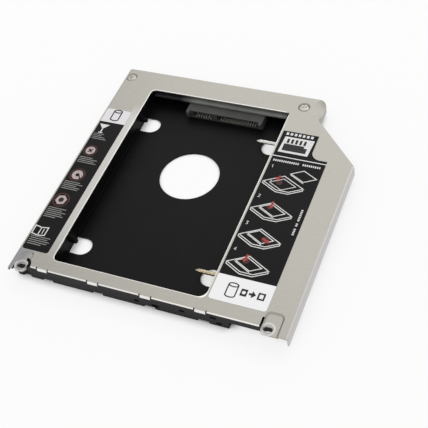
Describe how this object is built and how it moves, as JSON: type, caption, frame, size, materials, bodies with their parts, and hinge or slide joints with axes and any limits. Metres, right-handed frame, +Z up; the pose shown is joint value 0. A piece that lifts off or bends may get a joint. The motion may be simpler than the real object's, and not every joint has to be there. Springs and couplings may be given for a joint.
{
  "type": "laptop drive caddy",
  "caption": "Thin black tray under a windowed aluminium cover that carries a small disk drive in a laptop's slim optical bay, with a drive socket and side retaining screws.",
  "frame": {"origin": "centre of the footprint at the height of the tray's underside", "axes": "+Z up through the cover, +Y from the front rail towards the rear plug, +X towards the wing"},
  "size_m": [0.128, 0.1288, 0.0096],
  "materials": {
    "cover": "brushed, satin",
    "tray": "fine moulded texture, black",
    "cover_screw": "bright nickel",
    "front_pin": "yellow passivated steel",
    "rear_pin": "bright nickel",
    "nut": "plain brass",
    "board": "black solder mask",
    "housing": "glass-filled black resin",
    "contact": "gold flash",
    "tin": "tinned",
    "capacitor": "tan ceramic",
    "resistor": "black glazed ceramic",
    "left_print": "glossy printed label",
    "right_print": "glossy printed label"
  },
  "bodies": {
    "caddy": {"top_cover": "cover", "base_tray": "tray", "cover_screws": "cover_screw", "retaining_nut_front": "nut", "retaining_nut_rear": "nut", "adapter_board": "board", "board_screws": "cover_screw", "drive_connector_housing": "housing", "data_contacts": "contact", "power_contacts": "contact", "drive_connector_hold_downs": "tin", "host_connector_housing": "housing", "host_data_contacts": "contact", "host_power_contacts": "contact", "host_connector_hold_downs": "tin", "board_capacitors": "capacitor", "board_resistors": "resistor", "left_label": "left_print", "right_label": "right_print"},
    "front_screw": {"retaining_screw_front": "front_pin"},
    "rear_screw": {"retaining_screw_rear": "rear_pin"}
  },
  "joints": [
    {"name": "front_screw_travel", "type": "slide", "parent": "caddy", "child": "front_screw", "axis": [1, 0, 0], "range_m": [0, 0.0114]},
    {"name": "rear_screw_travel", "type": "slide", "parent": "caddy", "child": "rear_screw", "axis": [1, 0, 0], "range_m": [0, 0.0114]}
  ]
}
